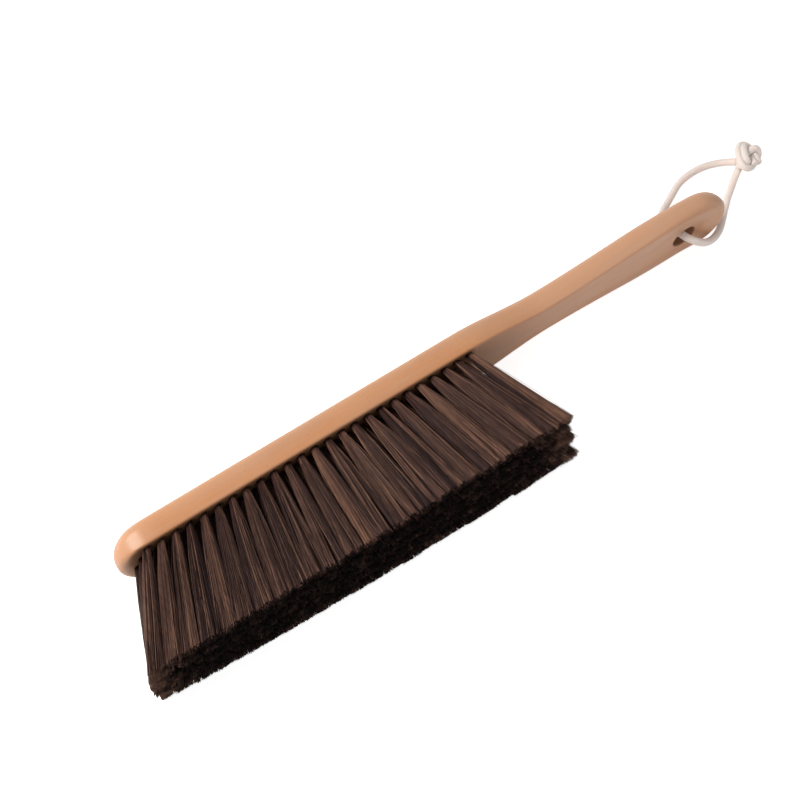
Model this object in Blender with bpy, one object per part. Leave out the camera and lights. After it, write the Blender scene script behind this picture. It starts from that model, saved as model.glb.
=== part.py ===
"""Bed brush lying on its side: a one-piece wooden body, columns of bristle tufts and a hanging cord.

The brush is drawn in its own measure: x from the end of the head along the brush, y from the
underside (bristles run to -y, the back is at +y), z up from the surface that it lies on.
"""
import math

import bmesh
import bpy
from mathutils import Matrix, Vector

# Driving sizes of the tufts, in metres
TUFT_STEP = 0.003583
TUFT_COLUMNS = 49
ROW_STEP = 0.0066
END_TUFT_INSET = 0.015
TUFT_HALF_LENGTH = 0.00085
TUFT_HALF_WIDTH = 0.00095
STRAND_SIDES = 3
STRAND_ROOT_RADIUS = 0.00065
STRAND_TIP_RADIUS = 0.00115

# Driving sizes of the bristle field
BRISTLE_LENGTH = 0.0575
HEAD_END_TRIM = 0.0052
UPPER_ROW_TRIM = 0.0024
FAN_BACK_REACH = 0.0252
FAN_FRONT_REACH = 0.018
TIP_HALF_LENGTH = 0.0023
TIP_HALF_WIDTH = 0.0019
SIDE_FLARE = 0.0029
SIDE_LIFT = 0.001
CROWD_STEP = 0.00555
CROWDED_HALF_LENGTH = 0.0012

# Driving sizes of the strips that hold the tufts
STRIP_DEPTH = 0.003
STRIP_MARGIN = 0.00035
SEAT_LAND = 0.0001

# Driving sizes of the wooden body
BLOCK_WIDTH = 0.036
BODY_THICKNESS = 0.0135
HEAD_END_RUN = 0.0152
HEAD_END_POWER = 1.75
BACK_ROUND = 0.006
FACE_ROUND = 0.0012
END_BACK_ROUND = 0.010
END_FACE_ROUND = 0.0045
END_ROUND_RUN = 0.062
END_SWELL = 0.0016
END_SWELL_RUN = 0.03
HANDLE_LENGTH = 0.1625
NECK_RUN = 0.0491
NECK_WIDTH = 0.0228
GRIP_WIDTH = 0.0352
GRIP_END_RUN = 0.019
GRIP_END_POWER = 2.2

# Driving sizes of the hanging hole and the cord
HOLE_DIAMETER = 0.013
HOLE_FROM_END = 0.0272
HOLE_EASE = 0.001
CORD_DIAMETER = 0.004
CORD_POINT_STEP = 0.005
KNOT_WRAP_RADIUS = 0.0046
KNOT_CORE_LENGTH = 0.0105
KNOT_CORE_WIDTH = 0.0085
KNOT_WRAP_TURN = math.radians(25)
KNOT_WRAP_LEAN = math.radians(80)

# Gap kept between touching pieces, and how far a cutter runs past what it cuts
CLEARANCE = 0.0003
CURVED_CLEARANCE = 0.00045
OVERRUN = 0.001

# Steps of the rounded stretches, and the angle past which an edge is shaded sharp
END_ARC_STEPS = 9
FLANK_STEPS = 8
HOLE_SIDES = 24
WRAP_STEPS = 24
ROUND_SEGMENTS = 3
PATH_STEPS = 8
TUBE_BEVEL_RESOLUTION = 2
TUBE_SIDES = 2 * TUBE_BEVEL_RESOLUTION + 4
SHARP_ANGLE = math.radians(40)

# Route of the cord from one mouth of the knot, under the handle's end, through the hanging
# hole and back to the knot's other mouth, from the middle of the hole at the underside
CORD_ROUTE = (
    (0.0593, 0.0223, -0.0132), (0.0560, 0.0204, -0.0147), (0.0520, 0.0177, -0.0156),
    (0.0475, 0.0147, -0.0158), (0.0434, 0.0119, -0.0158), (0.0373, 0.0070, -0.0158),
    (0.0310, 0.0018, -0.0158), (0.0265, -0.0012, -0.0156), (0.0216, -0.0033, -0.0143),
    (0.0162, -0.0049, -0.0112), (0.0104, -0.0062, -0.0062), (0.0063, -0.0067, -0.0020),
    (0.0030, -0.0062, 0.0009), (0.0006, -0.0045, 0.0025), (-0.0011, -0.0021, 0.0032),
    (-0.0020, 0.0008, 0.0033), (-0.0024, 0.0040, 0.0027), (-0.0026, 0.0072, 0.0016),
    (-0.0024, 0.0110, -0.0002), (-0.0011, 0.0151, -0.0025), (0.0020, 0.0191, -0.0057),
    (0.0068, 0.0225, -0.0095), (0.0120, 0.0256, -0.0129), (0.0173, 0.0286, -0.0149),
    (0.0258, 0.0330, -0.0158), (0.0302, 0.0346, -0.0158), (0.0350, 0.0354, -0.0158),
    (0.0398, 0.0357, -0.0158), (0.0445, 0.0355, -0.0158), (0.0489, 0.0347, -0.0158),
    (0.0532, 0.0333, -0.0157), (0.0570, 0.0314, -0.0153), (0.0600, 0.0290, -0.0144),
    (0.0619, 0.0268, -0.0134),
)
# Places on the knot, from the same point: its middle and the route of each short tail
KNOT_CENTRE = (0.0682, 0.0256, -0.0111)
KNOT_TAIL_ROUTES = (
    ((0.0682, 0.0256, -0.0111), (0.0672, 0.0310, -0.0098), (0.0708, 0.0334, -0.0104),
     (0.0752, 0.0305, -0.0126), (0.0766, 0.0262, -0.0148), (0.0757, 0.0228, -0.0156)),
    ((0.0682, 0.0256, -0.0111), (0.0668, 0.0304, -0.0140), (0.0702, 0.0318, -0.0150),
     (0.0730, 0.0288, -0.0156), (0.0728, 0.0232, -0.0157)),
)

# Sizes worked out from the driving ones
TUFT_SPAN = TUFT_STEP * (TUFT_COLUMNS - 1)
FIRST_TUFT = END_TUFT_INSET
LAST_TUFT = FIRST_TUFT + TUFT_SPAN
BODY_LENGTH = LAST_TUFT + HANDLE_LENGTH
HALF_BLOCK = BLOCK_WIDTH / 2
MID_Z = HALF_BLOCK
NECK_X = LAST_TUFT + NECK_RUN
GRIP_X = BODY_LENGTH - GRIP_END_RUN
HOLE = Vector((BODY_LENGTH - HOLE_FROM_END, 0, MID_Z))
OUTER_ROW = 2 * ROW_STEP
STRIP_WIDTH = TUFT_STEP - CLEARANCE
STRIP_RIM = FACE_ROUND + CURVED_CLEARANCE + SEAT_LAND
TUFT_REACH = TUFT_HALF_WIDTH + STRAND_ROOT_RADIUS + STRIP_MARGIN
STRIP_REACH = OUTER_ROW + TUFT_REACH

# The lowest corner of the box round body and bristles, and the middle of that box's bottom
TIP_STEP = TUFT_STEP * (1 + (FAN_FRONT_REACH + FAN_BACK_REACH) / TUFT_SPAN)
END_TIP = FIRST_TUFT - FAN_BACK_REACH + 2 * (TIP_STEP - CROWD_STEP)
FIELD_START = END_TIP - CROWDED_HALF_LENGTH - STRAND_TIP_RADIUS / 2
FIELD_HALF = OUTER_ROW + SIDE_FLARE + TIP_HALF_WIDTH + STRAND_TIP_RADIUS * math.sin(math.pi / 3)
FLOOR_Z = min(0, MID_Z + SIDE_LIFT - FIELD_HALF)
REFERENCE = Vector((
    (FIELD_START + BODY_LENGTH) / 2,
    (BODY_THICKNESS - BRISTLE_LENGTH - UPPER_ROW_TRIM) / 2,
    FLOOR_Z))


def clear_scene():
    for item in list(bpy.data.objects):
        bpy.data.objects.remove(item, do_unlink=True)


def material(name, colour, roughness):
    made = bpy.data.materials.new(name)
    made.use_nodes = True
    shader = made.node_tree.nodes["Principled BSDF"]
    shader.inputs["Base Color"].default_value = (*colour, 1)
    shader.inputs["Roughness"].default_value = roughness
    shader.inputs["Metallic"].default_value = 0
    return made


def frame_empty(name, place, parent=None):
    """An empty that carries pieces; place is where it stands in its parent."""
    empty = bpy.data.objects.new(name, None)
    empty.location = place
    empty.parent = parent
    bpy.context.collection.objects.link(empty)
    return empty


def add_object(name, data, parent, finish=None):
    piece = bpy.data.objects.new(name, data)
    piece.parent = parent
    bpy.context.collection.objects.link(piece)
    if finish is not None:
        data.materials.append(finish)
    return piece


def mesh_from(shape, name):
    bmesh.ops.recalc_face_normals(shape, faces=shape.faces)
    data = bpy.data.meshes.new(name)
    shape.to_mesh(data)
    shape.free()
    return data


def as_helper(piece):
    """Keep a cutter or an operand out of the model itself."""
    piece.hide_render = True
    piece.display_type = "WIRE"
    return piece


def combine(target, helper, operation):
    step = target.modifiers.new(helper.name, "BOOLEAN")
    step.operation = operation
    step.solver = "EXACT"
    step.object = as_helper(helper)


def smooth_round_parts(data):
    data.shade_smooth()
    data.set_sharp_from_angle(angle=SHARP_ANGLE)


def ease(share):
    """Soft S-curve from 0 to 1."""
    return share * share * (3 - 2 * share)


def round_end(share, power):
    """Width left at this share of a round end's run; a power of 2 makes an ellipse."""
    return max(1 - share ** power, 0) ** (1 / power)


def half_width(x):
    """Half of the body's width at x, over the round head end, neck, grip and rounded tip."""
    if x < HEAD_END_RUN:
        return HALF_BLOCK * round_end((HEAD_END_RUN - x) / HEAD_END_RUN, HEAD_END_POWER)
    if x <= LAST_TUFT:
        return HALF_BLOCK
    if x <= NECK_X:
        return HALF_BLOCK + (NECK_WIDTH / 2 - HALF_BLOCK) * ease((x - LAST_TUFT) / NECK_RUN)
    if x <= GRIP_X:
        return (NECK_WIDTH + (GRIP_WIDTH - NECK_WIDTH) * ease((x - NECK_X) / (GRIP_X - NECK_X))) / 2
    return GRIP_WIDTH / 2 * round_end((x - GRIP_X) / GRIP_END_RUN, GRIP_END_POWER)


def outline_stations():
    """Places along the body where its outline has a point, from the head's end to the tip."""
    quarter = math.pi / 2
    head = [HEAD_END_RUN * (1 - math.cos(quarter * i / END_ARC_STEPS)) for i in range(END_ARC_STEPS + 1)]
    shoulder = [LAST_TUFT + NECK_RUN * i / FLANK_STEPS for i in range(FLANK_STEPS + 1)]
    grip = [NECK_X + (GRIP_X - NECK_X) * i / FLANK_STEPS for i in range(1, FLANK_STEPS + 1)]
    turns = [quarter * i / END_ARC_STEPS for i in range(1, END_ARC_STEPS + 1)]
    tip = [GRIP_X + GRIP_END_RUN * math.sin(turn) for turn in turns]
    return head + shoulder + grip + tip


def plate(outline, low_y, high_y):
    """A closed plate whose outline is given as (x, z) and whose faces lie at low_y and high_y."""
    shape = bmesh.new()
    corners = [shape.verts.new((x, low_y, z)) for x, z in outline]
    face = shape.faces.new(corners)
    raised = bmesh.ops.extrude_face_region(shape, geom=[face])["geom"]
    moved = [item for item in raised if isinstance(item, bmesh.types.BMVert)]
    bmesh.ops.translate(shape, verts=moved, vec=(0, high_y - low_y, 0))
    bmesh.ops.recalc_face_normals(shape, faces=shape.faces)
    return shape


def end_share(x, run):
    """How far x is into a change that ends at the handle's end, from 0 to 1."""
    return ease(min(max((x - BODY_LENGTH) / run + 1, 0), 1))


def edge_round(x, edge):
    """Rounding of the underside's or the back's edge at x, which grows towards the handle's end."""
    plain, end = (BACK_ROUND, END_BACK_ROUND) if edge == "back" else (FACE_ROUND, END_FACE_ROUND)
    return plain + (end - plain) * end_share(x, END_ROUND_RUN)


def rounded_plate(outline):
    """The body before its cuts, grown ring by ring from the underside's flat to the back's."""
    places = [Vector(place) for place in outline]
    ways_out = []
    for before, after in zip(places[-1:] + places[:-1], places[1:] + places[:1]):
        way = after - before
        ways_out.append(Vector((-way.y, way.x)).normalized())
    turns = [math.pi / 2 * i / ROUND_SEGMENTS for i in range(ROUND_SEGMENTS + 1)]

    def ring_places(edge, turn):
        for place, way_out in zip(places, ways_out):
            radius = edge_round(place.x, edge)
            drawn_in = radius * (1 - math.cos(turn))
            level = radius * (1 - math.sin(turn))
            spot = place - drawn_in * way_out
            swell = END_SWELL * end_share(spot.x, END_SWELL_RUN)
            yield Vector((spot.x, BODY_THICKNESS - level if edge == "back" else level - swell, spot.y))

    rings = [("face", turn) for turn in reversed(turns)] + [("back", turn) for turn in turns]
    shape = bmesh.new()
    corners = [shape.verts.new(place) for place in ring_places(*rings[0])]
    cap = shape.faces.new(corners)
    for ring in rings[1:]:
        order = {corner.co.to_tuple(): i for i, corner in enumerate(corners)}
        grown = bmesh.ops.extrude_face_region(shape, geom=[cap])["geom"]
        if ring is not rings[1]:
            bmesh.ops.delete(shape, geom=[cap], context="FACES_ONLY")
        cap = next(item for item in grown if isinstance(item, bmesh.types.BMFace))
        corners = sorted(cap.verts, key=lambda corner: order[corner.co.to_tuple()])
        for corner, place in zip(corners, ring_places(*ring)):
            corner.co = place
    return shape


def tuft_x(column):
    return FIRST_TUFT + TUFT_STEP * column


def strip_half(x):
    """Half length of a tuft strip, drawn in where the head's round end comes close."""
    return min(STRIP_REACH, half_width(x) - STRIP_RIM)


def tuft_rows(column):
    """Offsets from the middle plane: three tufts in even columns, two between them in odd ones.

    The outer tufts are drawn in where the head's round end comes close."""
    room = strip_half(tuft_x(column) - STRIP_WIDTH / 2) - TUFT_REACH
    if column % 2 == 0:
        outer = min(OUTER_ROW, room)
        return [-outer, 0, outer]
    inner = min(ROW_STEP, room)
    return [-inner, inner]


def column_tufts(column):
    """Root, row, tip and half the tip's length of each tuft of a column.

    The first column also holds the three tufts that follow the head's round end, where tips crowd."""
    x = tuft_x(column)
    tufts = [(x, row, x + fan_shift(x), TIP_HALF_LENGTH) for row in tuft_rows(column)]
    if column > 0:
        return tufts
    tufts[1] = (x, 0, END_TIP + CROWD_STEP, CROWDED_HALF_LENGTH)
    pair_tip = tuft_x(1) + fan_shift(tuft_x(1)) - CROWD_STEP
    tufts += [(x - TUFT_STEP, row, pair_tip, CROWDED_HALF_LENGTH) for row in tuft_rows(1)]
    tufts.append((x - 2 * TUFT_STEP, 0, END_TIP, CROWDED_HALF_LENGTH))
    return tufts


def fan_shift(x):
    """How far along the brush the bristles lean at their tips."""
    return -FAN_BACK_REACH + (FAN_FRONT_REACH + FAN_BACK_REACH) * (x - FIRST_TUFT) / TUFT_SPAN


def bristle_length(x, row):
    """Free length: shorter towards the head's end, and in the rows that lie uppermost."""
    trim = ((LAST_TUFT - x) / TUFT_SPAN) ** 2
    upper = row / OUTER_ROW * (1 - 0.6 * trim)
    return BRISTLE_LENGTH - UPPER_ROW_TRIM * upper - HEAD_END_TRIM * trim


def strand(shape, root, tip):
    """One strand that thickens from inside its strip to its cut end, which lies square to y."""
    rings = []
    buried = root + Vector((0, STRIP_DEPTH / 2, 0))
    turns = [2 * math.pi * i / STRAND_SIDES for i in range(STRAND_SIDES)]
    corners = [Vector((math.cos(a), 0, math.sin(a))) for a in turns]
    radii = (STRAND_ROOT_RADIUS, STRAND_ROOT_RADIUS, STRAND_TIP_RADIUS)
    for place, radius in zip((buried, root, tip), radii):
        rings.append([shape.verts.new(place + radius * corner) for corner in corners])
    for lower, upper in zip(rings, rings[1:]):
        for i in range(STRAND_SIDES):
            j = (i + 1) % STRAND_SIDES
            shape.faces.new((lower[i], lower[j], upper[j], upper[i]))
    shape.faces.new(rings[0])
    shape.faces.new(rings[-1])


def tuft_strands(column):
    """The strands of one column, four to a tuft."""
    shape = bmesh.new()
    for x, row, tip_x, half_length in column_tufts(column):
        flare = row * SIDE_FLARE / OUTER_ROW
        length = bristle_length(x, row)
        for side_x in (-1, 1):
            for side_z in (-1, 1):
                root = Vector((x + side_x * TUFT_HALF_LENGTH, 0, MID_Z + row + side_z * TUFT_HALF_WIDTH))
                tip = Vector((
                    tip_x + side_x * half_length,
                    -length,
                    MID_Z + SIDE_LIFT + row + flare + side_z * TIP_HALF_WIDTH))
                strand(shape, root, tip)
    return mesh_from(shape, f"strands_{column + 1:02d}")


def strip_stations(column):
    """Places along the body where a strip's outline has a point; the first strip fills the round end."""
    low, high = tuft_x(column) - STRIP_WIDTH / 2, tuft_x(column) + STRIP_WIDTH / 2
    end = [low - TUFT_STEP * i / 2 for i in range(4, 0, -1)] if column == 0 else []
    return end + [low, high]


def strip_outline(column):
    stations = strip_stations(column)
    lower = [(x, MID_Z - strip_half(x)) for x in stations]
    upper = [(x, MID_Z + strip_half(x)) for x in stations]
    return lower + upper[::-1]


def build_tuft_column(column, parent, finish):
    """A strip of backing with its tufts fused to it."""
    name = f"tuft_column_{column + 1:02d}"
    base = plate(strip_outline(column), 0, STRIP_DEPTH)
    piece = add_object(name, mesh_from(base, name), parent, finish)
    strands = add_object(f"strands_{column + 1:02d}", tuft_strands(column), parent)
    combine(piece, strands, "UNION")
    return piece


def seat_cutter(parent):
    """The shallow seat in the underside that takes every strip with a clearance."""
    edges = []
    for column in range(TUFT_COLUMNS):
        edges += strip_stations(column)
    curved = [x for x in edges if strip_half(x) < STRIP_REACH]
    straight = [x for x in edges if x not in curved]
    stations = curved + straight[:1] + edges[-1:]
    halves = [strip_half(x) + (CURVED_CLEARANCE if x in curved else CLEARANCE) for x in stations]
    stations[0] -= CLEARANCE
    stations[-1] += CLEARANCE
    upper = [(x, MID_Z + half) for x, half in zip(stations, halves)]
    lower = [(x, MID_Z - half) for x, half in zip(stations, halves)]
    shape = plate(upper + lower[::-1], -OVERRUN, STRIP_DEPTH + CLEARANCE)
    return add_object("seat_cutter", mesh_from(shape, "seat_cutter"), parent)


def hole_cutter(parent):
    """The hanging hole with eased rims, turned about the hole's axis."""
    radius = HOLE_DIAMETER / 2
    profile = [
        (0, -OVERRUN), (radius + HOLE_EASE + OVERRUN, -OVERRUN), (radius, HOLE_EASE),
        (radius, BODY_THICKNESS - HOLE_EASE),
        (radius + HOLE_EASE + OVERRUN, BODY_THICKNESS + OVERRUN), (0, BODY_THICKNESS + OVERRUN)]
    shape = bmesh.new()
    corners = [shape.verts.new((HOLE.x + out, along, HOLE.z)) for out, along in profile]
    edges = [shape.edges.new(pair) for pair in zip(corners, corners[1:])]
    bmesh.ops.spin(shape, geom=corners + edges, cent=HOLE, axis=(0, 1, 0), angle=2 * math.pi,
                   steps=HOLE_SIDES, use_merge=True)
    bmesh.ops.remove_doubles(shape, verts=shape.verts, dist=CLEARANCE / 10)
    return add_object("hole_cutter", mesh_from(shape, "hole_cutter"), parent)


def build_body(parent, finish):
    """Block and handle, shaped from one board."""
    stations = outline_stations()
    upper = [(x, MID_Z + half_width(x)) for x in stations[1:-1]]
    lower = [(x, MID_Z - half_width(x)) for x in stations[1:-1]]
    outline = [(stations[0], MID_Z)] + upper + [(stations[-1], MID_Z)] + lower[::-1]
    body = add_object("brush_body", mesh_from(rounded_plate(outline), "brush_body"), parent, finish)
    combine(body, seat_cutter(parent), "DIFFERENCE")
    combine(body, hole_cutter(parent), "DIFFERENCE")
    smooth_round_parts(body.data)
    return body


def smooth_path(points, spacing):
    """Evenly spaced points on a smooth curve through the given ones, and the curve's length."""
    places = [Vector(p) for p in points]
    ends = [2 * places[0] - places[1]] + places + [2 * places[-1] - places[-2]]
    fine = []
    for a, b, c, d in zip(ends, ends[1:], ends[2:], ends[3:]):
        for i in range(PATH_STEPS):
            t = i / PATH_STEPS
            fine.append((2 * b + (c - a) * t + (2 * a - 5 * b + 4 * c - d) * t ** 2
                         + (3 * b - a - 3 * c + d) * t ** 3) / 2)
    fine.append(places[-1])
    travelled = [0]
    for a, b in zip(fine, fine[1:]):
        travelled.append(travelled[-1] + (b - a).length)
    count = max(round(travelled[-1] / spacing), 2)
    path, at = [fine[0]], 0
    for i in range(1, count):
        wanted = travelled[-1] * i / count
        while travelled[at + 1] < wanted:
            at += 1
        share = (wanted - travelled[at]) / (travelled[at + 1] - travelled[at])
        path.append(fine[at].lerp(fine[at + 1], share))
    return path + [fine[-1]], travelled[-1]


def tube_curve(name, points, radius):
    """A capped tube along points, as curve data."""
    curve = bpy.data.curves.new(name, "CURVE")
    curve.dimensions = "3D"
    curve.bevel_depth = radius
    curve.bevel_resolution = TUBE_BEVEL_RESOLUTION
    curve.use_fill_caps = True
    spline = curve.splines.new("POLY")
    spline.points.add(len(points) - 1)
    for place, point in zip(points, spline.points):
        point.co = (*place, 1)
    return curve


def build_cord(parent, finish):
    """The free cord between the knot's two mouths."""
    path, length = smooth_path(CORD_ROUTE, CORD_POINT_STEP)
    print(f"free cord {length * 1000:.1f} mm long, {len(path)} points")
    return add_object("hanging_cord", tube_curve("hanging_cord", path, CORD_DIAMETER / 2), parent, finish)


def knot_wrap():
    """The turn of cord round the knot's core."""
    shape = bmesh.new()
    ring = bmesh.ops.create_circle(shape, segments=TUBE_SIDES, radius=CORD_DIAMETER / 2)["verts"]
    bmesh.ops.rotate(shape, verts=ring, cent=(0, 0, 0), matrix=Matrix.Rotation(math.pi / 2, 3, "X"))
    bmesh.ops.translate(shape, verts=ring, vec=(KNOT_WRAP_RADIUS, 0, 0))
    bmesh.ops.spin(shape, geom=list(shape.verts) + list(shape.edges), cent=(0, 0, 0), axis=(0, 0, 1),
                   angle=2 * math.pi, steps=WRAP_STEPS, use_merge=True)
    bmesh.ops.remove_doubles(shape, verts=shape.verts, dist=CLEARANCE / 10)
    turn = Matrix.Translation(KNOT_CENTRE) @ Matrix.Rotation(KNOT_WRAP_TURN, 4, "Z")
    bmesh.ops.transform(shape, matrix=turn @ Matrix.Rotation(KNOT_WRAP_LEAN, 4, "Y"), verts=shape.verts)
    return shape


def knot_core():
    """The two strands inside the knot, as one rounded lump."""
    shape = bmesh.new()
    bmesh.ops.create_icosphere(shape, subdivisions=2, radius=1)
    size = Matrix.Diagonal((KNOT_CORE_LENGTH / 2, KNOT_CORE_WIDTH / 2, KNOT_CORE_WIDTH / 2, 1))
    bmesh.ops.transform(shape, matrix=Matrix.Translation(KNOT_CENTRE) @ size, verts=shape.verts)
    return shape


def tube_mesh(name, route, parent):
    """A short run of cord as a closed mesh, so that it can be joined to the knot."""
    path, _ = smooth_path(route, CORD_POINT_STEP / 2)
    guide = as_helper(add_object(name + "_guide", tube_curve(name, path, CORD_DIAMETER / 2), parent))
    bpy.context.view_layer.update()
    evaluated = guide.evaluated_get(bpy.context.evaluated_depsgraph_get())
    data = bpy.data.meshes.new_from_object(evaluated)
    bpy.data.objects.remove(guide, do_unlink=True)
    return add_object(name, data, parent)


def knot_mouths():
    """Routes of the two stubs that meet the free cord's ends, each with a clearance."""
    routes = []
    for end, before in ((CORD_ROUTE[0], CORD_ROUTE[1]), (CORD_ROUTE[-1], CORD_ROUTE[-2])):
        onward = (Vector(end) - Vector(before)).normalized()
        mouth = Vector(end) + CLEARANCE * onward
        routes.append((mouth, mouth + CORD_DIAMETER / 2 * onward, KNOT_CENTRE))
    return routes


def build_knot(parent, finish):
    """Core, wrap, mouths and tails of the overhand knot, joined to one body."""
    knot = add_object("cord_knot", mesh_from(knot_core(), "cord_knot"), parent, finish)
    combine(knot, add_object("knot_wrap", mesh_from(knot_wrap(), "knot_wrap"), parent), "UNION")
    for number, route in enumerate(list(KNOT_TAIL_ROUTES) + knot_mouths(), 1):
        combine(knot, tube_mesh(f"knot_tube_{number}", route, parent), "UNION")
    return knot


def main():
    clear_scene()
    beech = material("beech", (0.72, 0.42, 0.22), 0.42)
    bristle = material("bristle", (0.045, 0.025, 0.02), 0.55)
    cotton = material("cotton", (0.80, 0.73, 0.66), 0.9)
    brush = frame_empty("brush_reference", -REFERENCE)
    loop = frame_empty("loop_axis", HOLE, brush)
    build_body(brush, beech)
    for column in range(TUFT_COLUMNS):
        build_tuft_column(column, brush, bristle)
    build_cord(loop, cotton)
    build_knot(loop, cotton)
    axis_place = tuple(round(c, 5) for c in HOLE - REFERENCE)
    print(f"brush {BODY_LENGTH * 1000:.1f} mm long; loop axis at {axis_place}")


main()
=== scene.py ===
"""Bed brush lying on its side: lacquered beech body, dark bristles and a knotted cotton loop."""
import math

import bmesh
import bpy
import numpy as np
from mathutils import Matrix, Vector


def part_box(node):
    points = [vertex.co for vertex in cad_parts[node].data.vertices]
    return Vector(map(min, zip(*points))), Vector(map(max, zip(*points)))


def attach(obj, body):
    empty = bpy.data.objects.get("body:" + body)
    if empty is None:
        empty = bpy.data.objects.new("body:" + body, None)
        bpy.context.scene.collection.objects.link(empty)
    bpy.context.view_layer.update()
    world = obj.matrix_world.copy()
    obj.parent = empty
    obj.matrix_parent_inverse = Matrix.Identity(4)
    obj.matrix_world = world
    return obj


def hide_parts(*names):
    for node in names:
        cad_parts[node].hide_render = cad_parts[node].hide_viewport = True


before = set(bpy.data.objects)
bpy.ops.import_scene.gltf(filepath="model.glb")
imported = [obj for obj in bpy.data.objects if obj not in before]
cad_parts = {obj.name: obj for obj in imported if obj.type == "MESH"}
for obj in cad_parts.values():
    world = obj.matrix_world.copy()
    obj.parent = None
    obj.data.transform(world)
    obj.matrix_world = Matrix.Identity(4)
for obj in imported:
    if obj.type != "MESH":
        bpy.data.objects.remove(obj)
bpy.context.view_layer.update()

MM = 0.001
SAME_PLACE = 0.001 * MM

# Camera: the point that it looks at, its angles, its distance and its lens
LOOK_AT = Vector((-0.01688, 0.02702, 0.018))
CAMERA_AZIMUTH = math.radians(-33.9)
CAMERA_ELEVATION = math.radians(63.845)
CAMERA_DISTANCE = 0.6066
SENSOR_WIDTH = 36.0
FOCAL_IN_PIXELS = 1272.8
PICTURE_WIDTH = 800

# Wooden body: its sizes and its outline
BODY_LOW, BODY_HIGH = (Vector(corner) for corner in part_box("brush_body"))
BODY_LENGTH = BODY_HIGH.x - BODY_LOW.x
BODY_THICKNESS = 13.5 * MM
BLOCK_WIDTH = 36 * MM
HALF_BLOCK = BLOCK_WIDTH / 2
MID_Z = HALF_BLOCK
HEAD_END_RUN = 16 * MM
HEAD_END_POWER = 2.0
NOSE_BLEND = 4 * MM
NECK_RUN = 49.1 * MM
NECK_WIDTH = 22.8 * MM
GRIP_WIDTH = 35.2 * MM
GRIP_END_RUN = 19 * MM
GRIP_END_POWER = 2.2

# Wooden body: rounding of the edges along it, at the nose and at the handle's end
BACK_ROUND = 6 * MM
FACE_ROUND = 1.2 * MM
NOSE_RUN = 12 * MM
NOSE_CROWN = 1 * MM
NOSE_BACK_ROUND = 8 * MM
NOSE_FACE_ROUND = 4 * MM
END_BACK_ROUND = 10 * MM
END_FACE_ROUND = 4.5 * MM
END_ROUND_RUN = 62 * MM
END_SWELL = 1.6 * MM
END_SWELL_RUN = 30 * MM

# Wooden body: places along its outline, rings from the underside to the back, and sharp edges
END_STATIONS = 25
BLOCK_STATIONS = 41
HANDLE_STATIONS = 61
FACE_RINGS = 7
BACK_RINGS = 12
SUPPORT_RIM = 0.3 * MM
SHARP_ANGLE = math.radians(30)

# The brush's own measure starts at the head's end, at the underside and on the floor
START = Vector((BODY_LOW.x, BODY_HIGH.y - BODY_THICKNESS, BODY_LOW.z))

# Hanging hole
HOLE_RADIUS = 6.5 * MM
HOLE_FROM_END = 27.2 * MM
HOLE_EASE = 1.1 * MM
HOLE_SIDES = 64
HOLE = START + Vector((BODY_LENGTH - HOLE_FROM_END, 0, MID_Z))

# Bristle field
TUFT_STEP = 3.583 * MM
TUFT_COLUMNS = 49
ROW_STEP = 6.6 * MM
OUTER_ROW = 2 * ROW_STEP
FIRST_TUFT = 15 * MM
TUFT_SPAN = TUFT_STEP * (TUFT_COLUMNS - 1)
LAST_TUFT = FIRST_TUFT + TUFT_SPAN
BRISTLE_LENGTH = 58.3 * MM
HEAD_END_TRIM = 5.2 * MM
UPPER_ROW_TRIM = 3.0 * MM
UPPER_TRIM_LOSS = 0.6
FAN_BACK_REACH = 25.2 * MM
FAN_FRONT_REACH = 18 * MM
SIDE_FLARE = 2.9 * MM
SIDE_LIFT = 1 * MM
CROWD_STEP = 5.55 * MM
TIP_STEP = TUFT_STEP * (1 + (FAN_FRONT_REACH + FAN_BACK_REACH) / TUFT_SPAN)
END_TIP = FIRST_TUFT - FAN_BACK_REACH + 2 * (TIP_STEP - CROWD_STEP)
TUFT_HOLE_RADIUS = 2.3 * MM
TUFT_HOLE_DEPTH = 7 * MM
TUFT_HOLE_WALL = 1 * MM
TUFT_HOLE_SIDES = 20

# Hairs
FIRST_SEED = 100
HAIRS_IN_TUFT = 390
LOCKS_IN_TUFT = 9
HAIR_RADIUS = 0.13 * MM
THICKNESS_RANGE = (0.8, 1.2)
HAIR_START = 2.5 * MM
HAIR_WAVE = 0.5 * MM
FLOOR_MARGIN = 0.15 * MM

# Places along a hair as shares of its length from root to tip, and its thickness at each
HAIR_SHARES = np.array((0, 0.3, 0.65, 1, 1))
HAIR_TAPER = np.array((1, 1, 1, 0.95, 0.9))
HAIR_POINTS = len(HAIR_SHARES)

# How wide a tuft is at its hole and at its tips, and how its tips gather in locks
ROOT_SPREAD = 1.35 * MM
END_ROOT_SPREAD = 1.65 * MM
TIP_SPREAD = 5.3 * MM
OUTER_SQUARENESS = 0.85
LOWEST_FULLNESS = 1.1
LOCK_PULL = 0.4
OUTER_LOCK_PULL = 0.05
LOCK_SCATTER = 0.05
TUFT_WANDER = np.array((0.7 * MM, 0.22 * MM, 0.35 * MM))

# How fast hairs spread at the head's end, between and at the neck, each towards the middle
# and towards the end
SPREAD_POWERS = {-1: (0.6, 0.95), 0: (0.8, 0.8), 1: (0.5, 1.4)}

# How the tips are cut
CUT_JITTER = 0.18 * MM
NECK_END_JITTER = 0.55 * MM
LONGEST_STRAY = 0.6 * MM
LOWEST_CORNER_TRIM = 0.8 * MM
UPPER_END_TRIM = 1.3 * MM

# How much shorter a tuft's outer hairs are: in the lowest row, the inner rows and the highest
ROUNDED_TIPS = (0.35 * MM, 0.8 * MM, 1.7 * MM)
ROUNDED_FROM = 0.4

# What the tips of each row lack at the head's end, from the lowest row up
HEAD_END_TRIMS = (0.6 * MM, -1.4 * MM, -1.2 * MM, -0.3 * MM, 1.3 * MM)

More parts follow.
